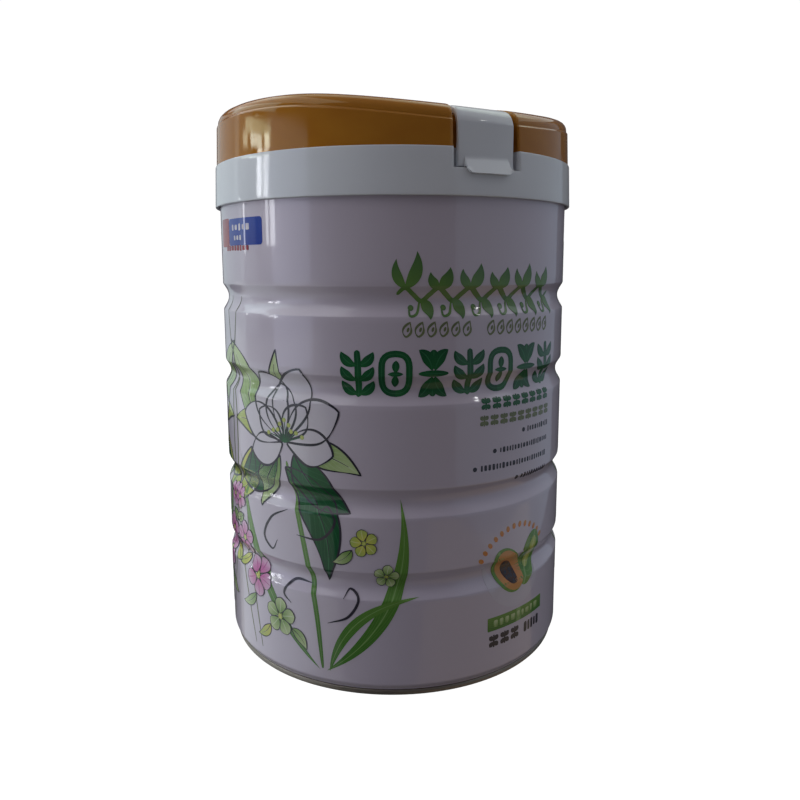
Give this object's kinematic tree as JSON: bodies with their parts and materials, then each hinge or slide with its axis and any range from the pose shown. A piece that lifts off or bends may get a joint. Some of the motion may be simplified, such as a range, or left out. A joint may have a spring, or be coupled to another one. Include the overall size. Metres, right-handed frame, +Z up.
{
  "type": "milk powder tin",
  "caption": "Shut round milk powder tin with rolled beads, seamed base and a plastic overcap held by a front latch strap.",
  "frame": {"origin": "middle of the underside, on the surface the tin stands on", "axes": "+Z up along the can's axis, -Y towards the printed front, +X to the right of the front; the latch is turned 26.6 degrees from -Y towards +X"},
  "size_m": [0.1302, 0.1302, 0.1909],
  "materials": {
    "printed_tinplate": "pearly pale lavender lacquer with a printed plant design, glossy",
    "bare_tinplate": "gold-brown lacquered tinplate, satin",
    "white_plastic": "smooth white moulded plastic, semi-gloss",
    "amber_plastic": "glossy amber-gold moulded plastic"
  },
  "bodies": {
    "root": {"can_body": "printed_tinplate", "base_end": "bare_tinplate", "collar_ring": "white_plastic", "amber_cover": "amber_plastic", "latch_strap": "white_plastic", "hinge_plate": "white_plastic"}
  },
  "joints": []
}
